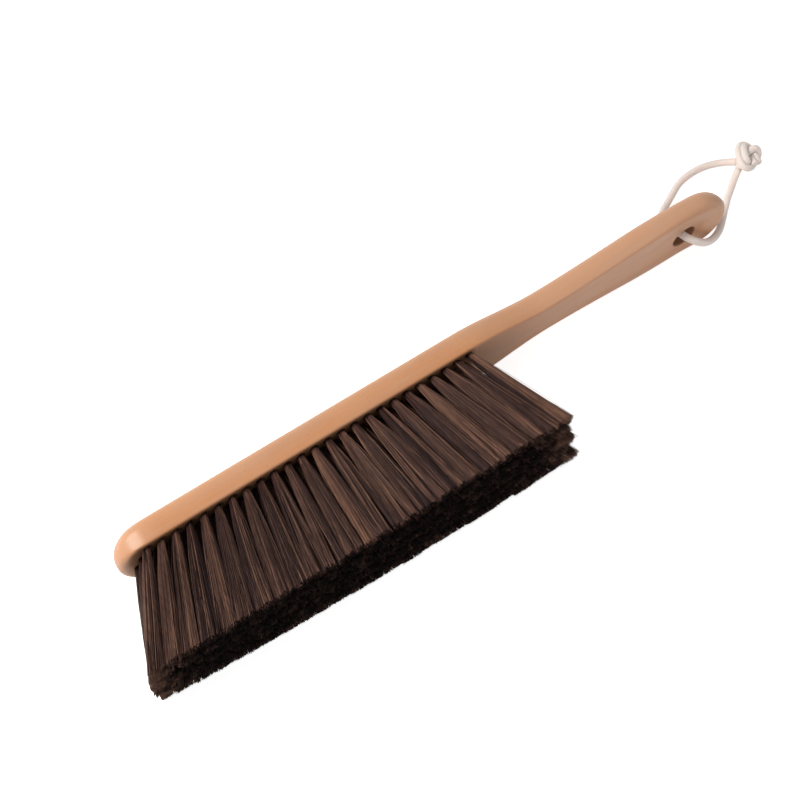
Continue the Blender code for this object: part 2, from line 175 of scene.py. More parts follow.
# Where the bristle field ends at the tips, and which tufts are at its edges
FIELD_END = 3.1 * MM
FIELD_LOW = END_TIP - 1.8 * MM
FIELD_HIGH = LAST_TUFT + FAN_FRONT_REACH + FIELD_END
FIELD_HALF = 18.5 * MM
END_TUFTS = 1.5 * TUFT_STEP
OUTER_ROW_FROM = 1.5 * ROW_STEP

# The dark tip of hairs inside the field and on its outside, cut ends with painted shade among the
# tips, and how far the painted shade of the inner rows reaches
DARK_TIP_INSIDE = 1.8 * MM
DARK_TIP_OUTSIDE = 0.4 * MM
OUTSIDE_FROM = 13.6 * MM
END_MARGIN = 5 * MM
END_DEPTH = 26 * MM
SHADE_REACH = 1.15

# Tones of the hairs, from 0 for the darkest to 1 for the lightest
MEAN_TONE = 0.42
TUFT_TONE_SPREAD = 0.06
LOCK_TONE_SPREAD = 0.16
HAIR_TONE_SPREAD = 0.15
COMMON_TONE_LIMIT = 0.9
LIGHT_HAIR_SHARE = 0.05
LIGHT_HAIR_TONES = (0.85, 1.0)

# Cord
CORD_DIAMETER = 4 * MM
CORD_SIDES = 40
RING_STEP = 0.3 * MM
CARRIERS = 10
BRAID_PITCH = 1.5 * MM
BRAID_DEPTH = 0.2 * MM
BRAID_UNDER = 0.55
THICKNESS_BLEND = 4 * MM
CUT_END_RUN = 0.25 * CORD_DIAMETER
CUT_END_WIDTH = 0.7
KNOT_STRAND_DIAMETER = 4.1 * MM
KNOT_CONTACT = 2.9 * MM

# Route of the free cord from the hole's middle at the underside: the knot's mouth, under the
# handle's end, through the hole and back to the knot's other mouth
CORD_ROUTE = (
    (0.0593, 0.0223, -0.0132), (0.0560, 0.0204, -0.0147), (0.0520, 0.0177, -0.0156),
    (0.0475, 0.0147, -0.0158), (0.0434, 0.0119, -0.0158), (0.0373, 0.0070, -0.0158),
    (0.0310, 0.0018, -0.0158), (0.0265, -0.0012, -0.0156), (0.0216, -0.0033, -0.0143),
    (0.0162, -0.0049, -0.0112), (0.0104, -0.0062, -0.0062), (0.0063, -0.0067, -0.0020),
    (0.0030, -0.0062, 0.0009), (0.0006, -0.0045, 0.0025), (-0.0011, -0.0021, 0.0032),
    (-0.0020, 0.0008, 0.0033), (-0.0024, 0.0040, 0.0027), (-0.0026, 0.0072, 0.0016),
    (-0.0024, 0.0110, -0.0002), (-0.0011, 0.0151, -0.0025), (0.0020, 0.0191, -0.0057),
    (0.0068, 0.0225, -0.0095), (0.0120, 0.0256, -0.0129), (0.0173, 0.0286, -0.0149),
    (0.0258, 0.0330, -0.0158), (0.0302, 0.0346, -0.0158), (0.0350, 0.0354, -0.0158),
    (0.0398, 0.0357, -0.0158), (0.0445, 0.0355, -0.0158), (0.0489, 0.0347, -0.0158),
    (0.0532, 0.0333, -0.0157), (0.0570, 0.0314, -0.0153), (0.0600, 0.0290, -0.0144),
    (0.0619, 0.0268, -0.0134),
)

# How the doubled cord is laid before the knot is pulled tight: places in the picture's frame
# in pixels, each with its height above the floor in millimetres
LOOSE_KNOT = (
    (744, 166.4, 8), (746.5, 158.6, 5.2), (747.4, 149.5, 7.8), (748.6, 141.1, 10.7),
    (751.4, 140.4, 9.8), (753, 148.2, 6.1), (751.7, 159.9, 3.7), (749.2, 170.3, 6.4),
    (745.5, 172.9, 12.2), (742.4, 166.4, 14.7), (741.8, 153.4, 12.5), (742.4, 141.7, 8.2),
    (745.5, 137.2, 5.7), (749.2, 142.3, 6.9), (752.3, 151.4, 8.9), (753.3, 161.8, 7.5),
)

# Pulling the knot tight: how often and how far the strands shorten, and how stiff they are
KNOT_NODE_STEP = 1.2 * MM
KNOT_CURVE_STEPS = 4
KNOT_ROUNDS = 700
KNOT_PASSES = 3
KNOT_SHRINK = 0.68
KNOT_SHRINK_TIME = 0.7
KNOT_PULL = 0.225
KNOT_STIFFNESS = 0.12
KNOT_FREE_RUN = 2.4 * KNOT_CONTACT

# Stage and light
FLOOR_REACH = 4
FLOOR_SEEN_GLOW = 0.78
FLOOR_MIRRORED_GLOW = 0.3
WORLD_LIGHT = 0.352
WORLD_SEEN = 1.0

# Each lamp's name, direction from the brush, distance, size, power and colour
LAMPS = (
    ("key_light", (-0.66, 0.42, 0.82), 1.35, (0.65, 0.65), 16.2, (1.0, 0.97, 0.94)),
    ("low_fill_light", (-0.25, -1.0, 0.16), 1.2, (1.5, 0.24), 2.4, (1.0, 0.98, 0.965)),
    ("end_fill_light", (1.0, -0.5, 0.2), 1.2, (0.5, 0.5), 1.3, (1.0, 0.98, 0.965)),
)


# Camera

def aim_camera():
    """The camera at the photograph's viewing angle, and its three axes."""
    a, e = CAMERA_AZIMUTH, CAMERA_ELEVATION
    back = Vector((math.sin(a) * math.cos(e), -math.cos(a) * math.cos(e), math.sin(e)))
    right = Vector((math.cos(a), math.sin(a), 0))
    lens = bpy.data.cameras.new("camera")
    lens.sensor_width = SENSOR_WIDTH
    lens.lens = FOCAL_IN_PIXELS / PICTURE_WIDTH * SENSOR_WIDTH
    camera = bpy.data.objects.new("camera", lens)
    camera.location = LOOK_AT + CAMERA_DISTANCE * back
    camera.rotation_euler = back.to_track_quat("Z", "Y").to_euler()
    bpy.context.collection.objects.link(camera)
    bpy.context.scene.camera = camera
    return camera.location, right, back.cross(right), back


EYE, RIGHT, UP, BACK = aim_camera()


def seen_at(x, y, height):
    """The point at this height above the floor that shows at a place in the picture."""
    middle = PICTURE_WIDTH / 2
    ray = (x - middle) * RIGHT - (y - middle) * UP - FOCAL_IN_PIXELS * BACK
    return EYE + ray * ((height - EYE.z) / ray.z)


# Small helpers

def add_piece(data, finishes, body, slot, *nodes):
    """A finished piece that rides on a body and stands for the named nodes."""
    piece = bpy.data.objects.new(data.name, data)
    bpy.context.collection.objects.link(piece)
    for finish in finishes:
        data.materials.append(finish)
    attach(piece, body)
    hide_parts(*nodes)
    return piece


def evaluated_mesh(piece, name):
    """The piece's shape with its modifiers applied; the piece itself is removed."""
    graph = bpy.context.evaluated_depsgraph_get()
    data = bpy.data.meshes.new_from_object(piece.evaluated_get(graph))
    data.name = name
    bpy.data.objects.remove(piece, do_unlink=True)
    return data


def smooth_path(points, steps=8):
    """Points on a smooth curve through the given ones."""
    places = [np.array(p, float) for p in points]
    ends = [2 * places[0] - places[1]] + places + [2 * places[-1] - places[-2]]
    fine = []
    for a, b, c, d in zip(ends, ends[1:], ends[2:], ends[3:]):
        for t in np.arange(steps) / steps:
            fine.append((2 * b + (c - a) * t + (2 * a - 5 * b + 4 * c - d) * t ** 2
                         + (3 * b - a - 3 * c + d) * t ** 3) / 2)
    return np.array(fine + [places[-1]])


def even_path(path, step):
    """The same path with a point every step."""
    run = np.r_[0, np.cumsum(np.linalg.norm(np.diff(path, axis=0), axis=1))]
    wanted = np.linspace(0, run[-1], max(round(run[-1] / step), 2) + 1)
    return np.stack([np.interp(wanted, run, path[:, k]) for k in range(3)], 1)


def wrapped_grid(shape, sides, rings):
    """Adds a grid to be bent into a tube: its verts, and each one's step round it and its ring."""
    verts = bmesh.ops.create_grid(shape, x_segments=sides, y_segments=rings - 1, size=0.5)["verts"]
    step = np.array([round((vert.co.x + 0.5) * sides) for vert in verts])
    ring = np.array([round((vert.co.y + 0.5) * (rings - 1)) for vert in verts])
    return verts, step, ring


def close_tube(shape, verts):
    """Joins the seam of a grid that was bent into a tube and closes both its ends."""
    bmesh.ops.remove_doubles(shape, verts=verts, dist=SAME_PLACE)
    bmesh.ops.holes_fill(shape, edges=[edge for edge in shape.edges if edge.is_boundary], sides=0)
    bmesh.ops.recalc_face_normals(shape, faces=shape.faces)


def finished_mesh(name, shape):
    data = bpy.data.meshes.new(name)
    shape.to_mesh(data)
    shape.free()
    return data


def loose_object(name, shape):
    made = bpy.data.objects.new(name, finished_mesh(name, shape))
    bpy.context.collection.objects.link(made)
    return made


# Node trees

class Value:
    """A number in a node tree; sums on it add Math nodes."""

    def __init__(self, paint, socket):
        self.paint = paint
        self.socket = socket

    def maths(self, operation, first, second):
        made = self.paint.node("Math", {"operation": operation}, {0: first, 1: second})
        return Value(self.paint, made.outputs[0])

    def __add__(self, other):
        return self.maths("ADD", self, other)

    __radd__ = __add__

    def __mul__(self, other):
        return self.maths("MULTIPLY", self, other)

    __rmul__ = __mul__

    def __sub__(self, other):
        return self.maths("SUBTRACT", self, other)

    def __rsub__(self, other):
        return self.maths("SUBTRACT", other, self)

    def clamped(self):
        made = self.paint.node("Clamp", {}, {"Value": self})
        return Value(self.paint, made.outputs[0])

    def rising(self, start, run):
        """From 0 at the start to 1 a run further on."""
        return ((self - start) * (1 / run)).clamped()

    def falling(self, end, run):
        """From 1 a run before the end to 0 at the end."""
        return ((end - self) * (1 / run)).clamped()


class Paint:
    """One material and the nodes that make it."""

    def __init__(self, name):
        self.material = bpy.data.materials.new(name)
        self.material.use_nodes = True
        self.tree = self.material.node_tree
        self.tree.nodes.clear()

    def node(self, kind, settings, sockets):
        made = self.tree.nodes.new("ShaderNode" + kind)
        for name, value in settings.items():
            if name == "stops":
                self.set_stops(made.color_ramp, value)
            else:
                setattr(made, name, value)
        for name, value in sockets.items():
            self.feed(made.inputs[name], value)
        return made

    def feed(self, socket, value):
        if isinstance(value, Value):
            value = value.socket
        if isinstance(value, bpy.types.NodeSocket):
            self.tree.links.new(value, socket)
        else:
            socket.default_value = value

    @staticmethod
    def set_stops(ramp, stops):
        while len(ramp.elements) < len(stops):
            ramp.elements.new(1)
        for element, (position, colour) in zip(ramp.elements, stops):
            element.position = position
            element.color = (*colour, 1)

    def place(self, stretch):
        """The piece's own coordinates, times a stretch in each direction."""
        source = self.node("TexCoord", {}, {}).outputs["Object"]
        return self.node("Mapping", {}, {"Vector": source, "Scale": stretch}).outputs["Vector"]

    def noise(self, stretch, detail=2.0, roughness=0.5, distortion=0.0):
        made = self.node("TexNoise", {}, {
            "Vector": self.place(stretch), "Scale": 1.0, "Detail": detail, "Roughness": roughness,
            "Distortion": distortion})
        return Value(self, made.outputs["Fac"])

    def ramp(self, value, stops):
        return self.node("ValToRGB", {"stops": stops}, {"Fac": value}).outputs["Color"]

    def mix(self, share, colour, over):
        """The colour with this share of another over it; colours go in at sockets 6 and 7."""
        made = self.node("Mix", {"data_type": "RGBA"}, {0: share, 6: colour, 7: (*over, 1)})
        return made.outputs[2]

    def parts(self, kind, socket, source):
        """The three numbers in a colour or a place."""
        outputs = self.node(kind, {}, {socket: source}).outputs
        return [Value(self, outputs[i]) for i in range(3)]

    def attribute(self, name):
        """The three numbers that a piece keeps at each point under this name."""
        source = self.node("Attribute", {"attribute_name": name}, {}).outputs["Color"]
        return self.parts("SeparateColor", "Color", source)

    def bump(self, height, strength, distance):
        return self.node("Bump", {}, {
            "Height": height, "Strength": strength, "Distance": distance}).outputs["Normal"]

    def finish(self, **sockets):
        named = {name.replace("_", " "): value for name, value in sockets.items()}
        shader = self.node("BsdfPrincipled", {}, named)
        output = self.node("OutputMaterial", {}, {})
        self.tree.links.new(shader.outputs[0], output.inputs["Surface"])
        return self.material


def beech_finish():
    """Steamed beech under a satin lacquer: straight grain, faint bands and short ray flecks, with
    painted light and shade across the side and painted shade under the bristles and in the hanging
    hole.
    """
    paint = Paint("beech")
    bands = paint.noise((7, 95, 95), detail=3, distortion=0.4)
    grain = paint.noise((22, 900, 900), detail=3, roughness=0.6)
    cloud = paint.noise((26, 40, 40), detail=2)
    fleck = ((paint.noise((420, 2900, 2900), detail=1) - 0.6) * 7).clamped()
    colour = paint.ramp(bands, [
        (0.25, (0.59, 0.305, 0.168)), (0.45, (0.61, 0.265, 0.108)), (0.62, (0.53, 0.26, 0.14)),
        (0.8, (0.60, 0.34, 0.207))])
    colour = paint.mix(((grain - 0.45) * 2.2).clamped() * 0.3, colour, (0.43, 0.19, 0.085))
    colour = paint.mix(((cloud - 0.45) * 2.5).clamped() * 0.4, colour, (0.68, 0.385, 0.225))
    colour = paint.mix(fleck * 0.35, colour, (0.34, 0.15, 0.065))
    x, y, z = paint.parts("SeparateXYZ", "Vector", paint.place((1, 1, 1)))
    neck = START.x + LAST_TUFT
    # Painted light and shade across the side: lighter towards the back edge and darker towards the
    # underside, as on a crowned face
    rise = y.rising(START.y, BODY_THICKNESS)
    colour = paint.mix(rise * 0.4, colour, (0.69, 0.435, 0.29))
    colour = paint.mix((1 - rise * 1.6).clamped() * 0.3, colour, (0.46, 0.22, 0.115))
    handle = x.rising(neck, 50 * MM)
    nose = x.falling(START.x + 24 * MM, 20 * MM)
    colour = paint.mix(handle * 0.36 + nose * 0.25, colour, (0.70, 0.435, 0.30))
    # Painted shade on the underside near and between the tufts and along the neck, where the
    # bristles shade the wood: near-black brown, matte and without the coat
    past_head = x.rising(START.x + 1 * MM, 10 * MM)
    before_neck = x.falling(neck + 5 * MM, 4 * MM) * 0.85
    before_neck += x.falling(neck + 40 * MM, 40 * MM) * 0.15
    under = y.falling(START.y + 1.1 * MM, 0.8 * MM)
    below = z.falling(MID_Z + 17.8 * MM, 1.5 * MM)
    painted_shade_under_bristles = past_head * before_neck * under * below
    # Painted shade inside the hanging hole and on its eased rims
    off_axis = (x - HOLE.x) * (x - HOLE.x) + (z - HOLE.z) * (z - HOLE.z)
    painted_shade_in_bore = off_axis.falling(1.3 * HOLE_RADIUS ** 2, 0.25 * HOLE_RADIUS ** 2)
    colour = paint.mix(painted_shade_under_bristles * 0.7, colour, (0.035, 0.017, 0.010))
    colour = paint.mix(painted_shade_in_bore * 0.6, colour, (0.10, 0.045, 0.02))
    return paint.finish(
        Base_Color=colour, Roughness=grain * 0.14 + 0.35 + painted_shade_under_bristles * 0.45, Specular_IOR_Level=0.2,
        Coat_Weight=(1 - painted_shade_under_bristles) * 0.25, Coat_Roughness=0.28,
        Normal=paint.bump(grain * 0.7 + fleck * 0.5, 0.25, 0.00012))


def hair_finish():
    """Dark brown hair: each hair has its own tone, from black-brown to light brown, with painted
    shade towards the roots, most in the inner rows.
    """
    paint = Paint("bristle_hair")
    tone, along, inside = paint.attribute("hair")
    mottle = paint.noise((900, 160, 900), detail=1)
    tuft = paint.noise((110, 14, 110), detail=1)
    # The along term makes hairs a little darker towards their roots: painted shade
    shade = tone + (mottle - 0.5) * 0.4 + (along - 0.5) * 0.04 + (tuft - 0.5) * 0.16 + 0.01
    colour = paint.ramp(shade.clamped(), [
        (0.0, (0.024, 0.011, 0.010)), (0.3, (0.068, 0.034, 0.030)), (0.55, (0.138, 0.073, 0.056)),
        (0.8, (0.25, 0.13, 0.087)), (1.0, (0.42, 0.22, 0.14))])
    # Painted shade: hairs of the inner rows darker towards their roots
    shadow = (1.3 - along * 1.8).clamped() * inside
    colour = paint.mix(shadow.clamped() * 0.65, colour, (0.008, 0.004, 0.004))
    # Painted shade at the roots of all hairs
    colour = paint.mix((1 - along * 12).clamped() * 0.3, colour, (0.012, 0.006, 0.006))
    return paint.finish(Base_Color=colour, Roughness=tone * 0.1 + 0.48, Specular_IOR_Level=0.2)


def hair_end_finish():
    """Dark tips of the hairs: cut ends with painted shade among the tips, lighter near the field's
    ends.
    """
    paint = Paint("bristle_cut_end_and_painted_shade")
    tone, _, _ = paint.attribute("hair")
    deep, _, _ = paint.attribute("field")
    lump = paint.noise((150, 150, 230), detail=1)
    shade = tone * 0.7 + (lump - 0.5) * 1.2 + (1 - deep) * 0.75
    colour = paint.ramp(shade.clamped(), [
        (0.2, (0.007, 0.005, 0.005)), (0.55, (0.022, 0.014, 0.012)), (0.8, (0.08, 0.045, 0.035)),
        (1.0, (0.18, 0.10, 0.072))])
    return paint.finish(Base_Color=colour, Roughness=0.9, Specular_IOR_Level=0.05)


def cotton_finish():
    """Undyed cotton braid: light crowns, darker valleys as painted shade, and a fine fibre bump."""
    paint = Paint("cotton_braid")
    crown, _, _ = paint.attribute("braid")
    fibre = paint.noise((4200, 4200, 4200), detail=2)
    soil = paint.noise((240, 240, 240), detail=2)
    # Painted shade: the braid's valleys darker than its crowns
    colour = paint.ramp(crown, [
        (0.0, (0.75, 0.585, 0.52)), (0.45, (0.91, 0.765, 0.70)), (1.0, (0.965, 0.85, 0.795))])
    colour = paint.mix(((soil - 0.5) * 2).clamped() * 0.55, colour, (0.91, 0.71, 0.67))
    return paint.finish(
        Base_Color=colour, Roughness=fibre * 0.1 + 0.85, Sheen_Weight=0.25, Sheen_Roughness=0.5,
        Subsurface_Weight=0.6, Subsurface_Radius=(1.0, 0.8, 0.7), Subsurface_Scale=0.003,
        Normal=paint.bump(fibre, 0.5, 0.0002))


# Cord and knot

def braid_height(around, along):
    """Height of a two-way braid from 0 in its valleys to 1 on its crowns."""
    one, two = around + along, around - along
    across, over = one % 1, two % 1
    swap = (np.floor(one) + np.floor(two)) % 2 == 1
    across, over = np.where(swap, over, across), np.where(swap, across, over)
    rise = BRAID_UNDER + (1 - BRAID_UNDER) * np.sin(np.pi * over)
    return np.sqrt(np.sin(np.pi * across)) * rise


def carried_frames(path):
    """For each point of a path, two directions square to it that turn as little as they can."""
    ahead = np.gradient(path, axis=0)
    ahead /= np.linalg.norm(ahead, axis=1)[:, None]
    side = np.cross(ahead[0], (0, 0, 1))
    sides = []
    for direction in ahead:
        side = side - direction * side.dot(direction)
        side = side / np.linalg.norm(side)
        sides.append(side)
    return np.array(sides), np.cross(ahead, np.array(sides))


class WholeCord:
    """The cord from cut end to cut end, so that its braid runs on from one piece to the next."""

    def __init__(self, parts, radii):
        parts = [even_path(part, RING_STEP) for part in parts]
        self.path = np.vstack([part[:-1] for part in parts[:-1]] + [parts[-1]])
        self.sides = carried_frames(self.path)
        ends = np.cumsum([0] + [len(part) - 1 for part in parts])
        self.stretches = list(zip(ends, ends[1:]))
        middle = [(a + b) / 2 for a, b in self.stretches]
        ring = np.arange(len(self.path))
        self.radius = np.interp(ring, middle, radii)
        for (a, b), radius in zip(self.stretches, radii):
            inside = np.clip((ring - a) * RING_STEP / THICKNESS_BLEND, 0, 1)
            inside *= np.clip((b - ring) * RING_STEP / THICKNESS_BLEND, 0, 1)
            self.radius += (radius - self.radius) * inside

    def add_stretch(self, shape, number):
        """Adds the braided tube of one stretch; a cut end is drawn in a little and closed."""
        first, last = self.stretches[number]
        crown_layer = shape.verts.layers.float_color.get("braid")
        verts, step, ring = wrapped_grid(shape, CORD_SIDES, last - first + 1)
        ring += first
        around = step / CORD_SIDES
        height = braid_height(around * CARRIERS, ring * RING_STEP / BRAID_PITCH)
        from_end = np.minimum(ring, len(self.path) - 1 - ring) * RING_STEP
        closing = np.sqrt(np.clip(from_end / CUT_END_RUN, 0, 1))
        closing = CUT_END_WIDTH + (1 - CUT_END_WIDTH) * closing
        reach = (self.radius[ring] - BRAID_DEPTH * (1 - height)) * closing
        turn = 2 * np.pi * around
        places = (self.path[ring] + self.sides[0][ring] * (reach * np.cos(turn))[:, None]
                  + self.sides[1][ring] * (reach * np.sin(turn))[:, None])
        for vert, place, crown in zip(verts, places, height):
            vert.co = place
            vert[crown_layer] = (crown, 0, 0, 1)
        close_tube(shape, verts)

    def mesh(self, name, *numbers):
        shape = bmesh.new()
        shape.verts.layers.float_color.new("braid")
        for number in numbers:
            self.add_stretch(shape, number)
        data = finished_mesh(name, shape)
        data.shade_smooth()
        return data


def laid_strands(mouths, ways_in):
    """The two strands side by side along the loose knot, each straight on from its own mouth."""
    middle = smooth_path([seen_at(x, y, height * MM) for x, y, height in LOOSE_KNOT])
    middle = even_path(middle, KNOT_NODE_STEP)
    ahead = np.gradient(middle, axis=0)
    side = np.cross(ahead, BACK)
    side *= KNOT_CONTACT / 2 / np.linalg.norm(side, axis=1)[:, None]
    pair = [middle + side, middle - side]
    if np.linalg.norm(pair[0][0] - mouths[0]) > np.linalg.norm(pair[1][0] - mouths[0]):
        pair.reverse()
    strands = []
    for mouth, way_in, strand in zip(mouths, ways_in, pair):
        start = [mouth, mouth + way_in * KNOT_NODE_STEP * 2]
        strands.append(even_path(np.vstack((start, strand[3:])), KNOT_NODE_STEP))
    return strands


def pull_tight(strands):
    """Shortens the two strands, which keep off each other and the floor, into a tight knot."""
    sizes = [len(strand) for strand in strands]
    starts = [0, sizes[0]]
    points = np.vstack(strands)
    count = len(points)
    links = np.array([i for i in range(count - 1) if i != sizes[0] - 1])
    rest = np.linalg.norm(points[links + 1] - points[links], axis=1)
    owner = np.repeat((0, 1), sizes)
    one, two = np.triu_indices(count, 1)
    held = {start + i: points[start + i].copy() for start in starts for i in (0, 1)}
    for turn in range(KNOT_ROUNDS):
        short = 1 - (1 - KNOT_SHRINK) * turn / (KNOT_SHRINK_TIME * KNOT_ROUNDS)
        short = max(short, KNOT_SHRINK)
        apart = (two - one) * rest.mean() * short
        far = (owner[one] != owner[two]) | (apart > KNOT_FREE_RUN)
        a, b = one[far], two[far]
        for _ in range(KNOT_PASSES):
            step = points[links + 1] - points[links]
            length = np.linalg.norm(step, axis=1)
            pull = (KNOT_PULL * (length - rest * short) / length)[:, None] * step
            np.add.at(points, links, pull)
            np.add.at(points, links + 1, -pull)
            for start, size in zip(starts, sizes):
                strand = points[start:start + size]
                halfway = (strand[:-2] + strand[2:]) / 2
                strand[1:-1] += KNOT_STIFFNESS * (halfway - strand[1:-1])
            step = points[b] - points[a]
            length = np.linalg.norm(step, axis=1)
            hit = length < KNOT_CONTACT
            push = (0.5 * (KNOT_CONTACT - length[hit]) / length[hit])[:, None] * step[hit]
            moves, hits = np.zeros_like(points), np.zeros(count)
            for ends, sign in ((a[hit], -1), (b[hit], 1)):
                np.add.at(moves, ends, sign * push)
                np.add.at(hits, ends, 1)
            points += moves / np.maximum(hits, 1)[:, None]
            points[:, 2] = np.maximum(points[:, 2], KNOT_STRAND_DIAMETER / 2 + FLOOR_MARGIN)
            for index, spot in held.items():
                points[index] = spot
    return [points[start:start + size] for start, size in zip(starts, sizes)]


def make_loop_and_knot():
    finishes = (cotton_finish(),)
    route = [Vector(point) + HOLE for point in CORD_ROUTE]
    path = smooth_path(route)
    mouths = [path[0], path[-1]]
    ways_in = [path[0] - path[1], path[-1] - path[-2]]
    ways_in = [way / np.linalg.norm(way) for way in ways_in]
    strands = pull_tight(laid_strands(mouths, ways_in))
    first, second = (smooth_path(strand, KNOT_CURVE_STEPS) for strand in strands)
    radii = np.array((KNOT_STRAND_DIAMETER, CORD_DIAMETER, KNOT_STRAND_DIAMETER)) / 2
    cord = WholeCord([first[::-1], path, second], radii)
    knot = add_piece(cord.mesh("tied_knot", 0, 2), finishes, "hanging_loop", "cotton", "cord_knot")
    loop = add_piece(cord.mesh("cotton_loop", 1), finishes, "hanging_loop", "cotton",
                     "hanging_cord")


# Wooden body

def ease(share):
    """Soft S-curve from 0 to 1."""
    return share * share * (3 - 2 * share)


def round_end(share, power):
    """Width left at this share of a round end's run; a power of 2 makes an ellipse."""
    return max(1 - share ** power, 0) ** (1 / power)


def half_width(x):
    """Half of the body's width at x, over the round head end, neck, grip and rounded tip."""
    neck_x, grip_x = LAST_TUFT + NECK_RUN, BODY_LENGTH - GRIP_END_RUN
    if x < HEAD_END_RUN:
        return HALF_BLOCK * round_end((HEAD_END_RUN - x) / HEAD_END_RUN, HEAD_END_POWER)
    if x <= LAST_TUFT:
        return HALF_BLOCK
    if x <= neck_x:
        return HALF_BLOCK + (NECK_WIDTH / 2 - HALF_BLOCK) * ease((x - LAST_TUFT) / NECK_RUN)
    if x <= grip_x:
        return (NECK_WIDTH + (GRIP_WIDTH - NECK_WIDTH) * ease((x - neck_x) / (grip_x - neck_x))) / 2
    return GRIP_WIDTH / 2 * round_end((x - grip_x) / GRIP_END_RUN, GRIP_END_POWER)


def end_share(x, run):
    """How far x is into a change that ends at the handle's end, from 0 to 1."""
    return ease(min(max((x - BODY_LENGTH) / run + 1, 0), 1))


def nose_share(x):
    """How much of the nose's fuller rounding x has, from 1 at the head's end to 0."""
    return ease(min(max(1 - x / NOSE_RUN, 0), 1))


def edge_round(x, edge):
    """Rounding of the underside's or the back's edge, which grows towards both ends."""
    plain, end, nose = BACK_ROUND, END_BACK_ROUND, NOSE_BACK_ROUND
    if edge == "face":
        plain, end, nose = FACE_ROUND, END_FACE_ROUND, NOSE_FACE_ROUND
    return plain + (end - plain) * end_share(x, END_ROUND_RUN) + (nose - plain) * nose_share(x)


def body_outline():
    """Places round the body's outline with their outward directions, as (x, z) pairs."""
    grip_x = BODY_LENGTH - GRIP_END_RUN
    turns = np.linspace(0, math.pi / 2, END_STATIONS)
    stations = np.concatenate((
        HEAD_END_RUN * (1 - np.cos(turns)),
        np.linspace(HEAD_END_RUN, LAST_TUFT, BLOCK_STATIONS)[1:],
        np.linspace(LAST_TUFT, grip_x, HANDLE_STATIONS)[1:],
        grip_x + GRIP_END_RUN * np.sin(turns)[1:]))
    soft = [min(max(x - NOSE_BLEND, 0) / 2, NOSE_BLEND) if x < LAST_TUFT else 0 for x in stations]
    widths = [(half_width(x - d) + 2 * half_width(x) + half_width(x + d)) / 4
              for x, d in zip(stations, soft)]
    upper = [(x, MID_Z + width) for x, width in zip(stations, widths)]
    lower = [(x, MID_Z - width) for x, width in list(zip(stations, widths))[-2:0:-1]]
    loop = np.array(upper + lower)
    along = np.roll(loop, -1, 0) - np.roll(loop, 1, 0)
    outward = np.stack((-along[:, 1], along[:, 0]), 1)
    return loop, outward / np.linalg.norm(outward, axis=1)[:, None]


def body_levels():
    """Each ring's edge, and its shares of that edge's rounding inwards and upwards."""
    face = [math.pi / 2 * i / FACE_RINGS for i in range(FACE_RINGS + 1)]
    back = [math.pi / 2 * i / BACK_RINGS for i in range(BACK_RINGS + 1)]
    levels = [("face", 1 - math.sin(a), 1 - math.cos(a)) for a in face]
    return levels + [("back", 1 - math.cos(a), 1 - math.sin(a)) for a in back]


def solid_body():
    """The body without its holes: a tube of rings round the outline, from underside to back."""
    loop, outward = body_outline()
    levels = body_levels()
    shape = bmesh.new()
    verts, step, ring = wrapped_grid(shape, len(loop), len(levels) + 2)
    for vert, spot, level in zip(verts, step % len(loop), ring - 1):
        x, z = loop[spot]
        edge, inward, upward = levels[min(max(level, 0), len(levels) - 1)]
        size = edge_round(x, edge)
        inset = size * inward + (SUPPORT_RIM if level in (-1, len(levels)) else 0)
        inset -= NOSE_CROWN * nose_share(x)
        x, z = x - outward[spot][0] * inset, z - outward[spot][1] * inset
        y = BODY_THICKNESS - size * upward
        if edge == "face":
            y = size * upward - END_SWELL * end_share(x, END_SWELL_RUN)
        vert.co = START + Vector((x, y, z))
    close_tube(shape, verts)
    return shape


def hole_tool():
    """What the drills take away: the hanging hole with eased rims and the tufts' blind holes."""
    shape = bmesh.new()
    turns = [math.pi / 2 * i / 5 for i in range(6)]
    rim = [(HOLE_RADIUS + HOLE_EASE * (1 - math.sin(a)), HOLE_EASE * (1 - math.cos(a)))
           for a in turns]
    wide = (HOLE_RADIUS + HOLE_EASE + 2 * END_SWELL, -END_SWELL)
    profile = [(0, wide[1]), wide] + rim
    profile += [(out, BODY_THICKNESS - y) for out, y in reversed(profile)]
    corners = [shape.verts.new(HOLE + Vector((out, y, 0))) for out, y in profile]
    edges = [shape.edges.new(pair) for pair in zip(corners, corners[1:])]
    bmesh.ops.spin(shape, geom=corners + edges, cent=HOLE, axis=(0, 1, 0), angle=2 * math.pi,
                   steps=HOLE_SIDES, use_merge=True)
    bmesh.ops.remove_doubles(shape, verts=shape.verts, dist=10 * SAME_PLACE)
    turn = Vector((0, 0, 1)).rotation_difference(Vector((0, 1, 0))).to_matrix()
    for column in range(TUFT_COLUMNS):
        for x, row, _ in column_tufts(column):
            drilled = bmesh.ops.create_cone(
                shape, cap_ends=True, segments=TUFT_HOLE_SIDES, radius1=TUFT_HOLE_RADIUS,
                radius2=TUFT_HOLE_RADIUS, depth=2 * TUFT_HOLE_DEPTH)["verts"]
            bmesh.ops.rotate(shape, verts=drilled, cent=(0, 0, 0), matrix=turn)
            bmesh.ops.translate(shape, verts=drilled, vec=START + Vector((x, 0, MID_Z + row)))
    bmesh.ops.recalc_face_normals(shape, faces=shape.faces)
    return shape


def make_body():
    block = loose_object("beech_body_uncut", solid_body())
    tool = loose_object("drills", hole_tool())
    cut = block.modifiers.new("drilled", "BOOLEAN")
    cut.operation = "DIFFERENCE"
    cut.solver = "EXACT"
    cut.object = tool
    data = evaluated_mesh(block, "beech_body")
    bpy.data.objects.remove(tool, do_unlink=True)
    data.shade_smooth()
    data.set_sharp_from_angle(angle=SHARP_ANGLE)
    add_piece(data, (beech_finish(),), "brush", "beech", "brush_body")


# Bristles

def tuft_x(column):
    return FIRST_TUFT + TUFT_STEP * column


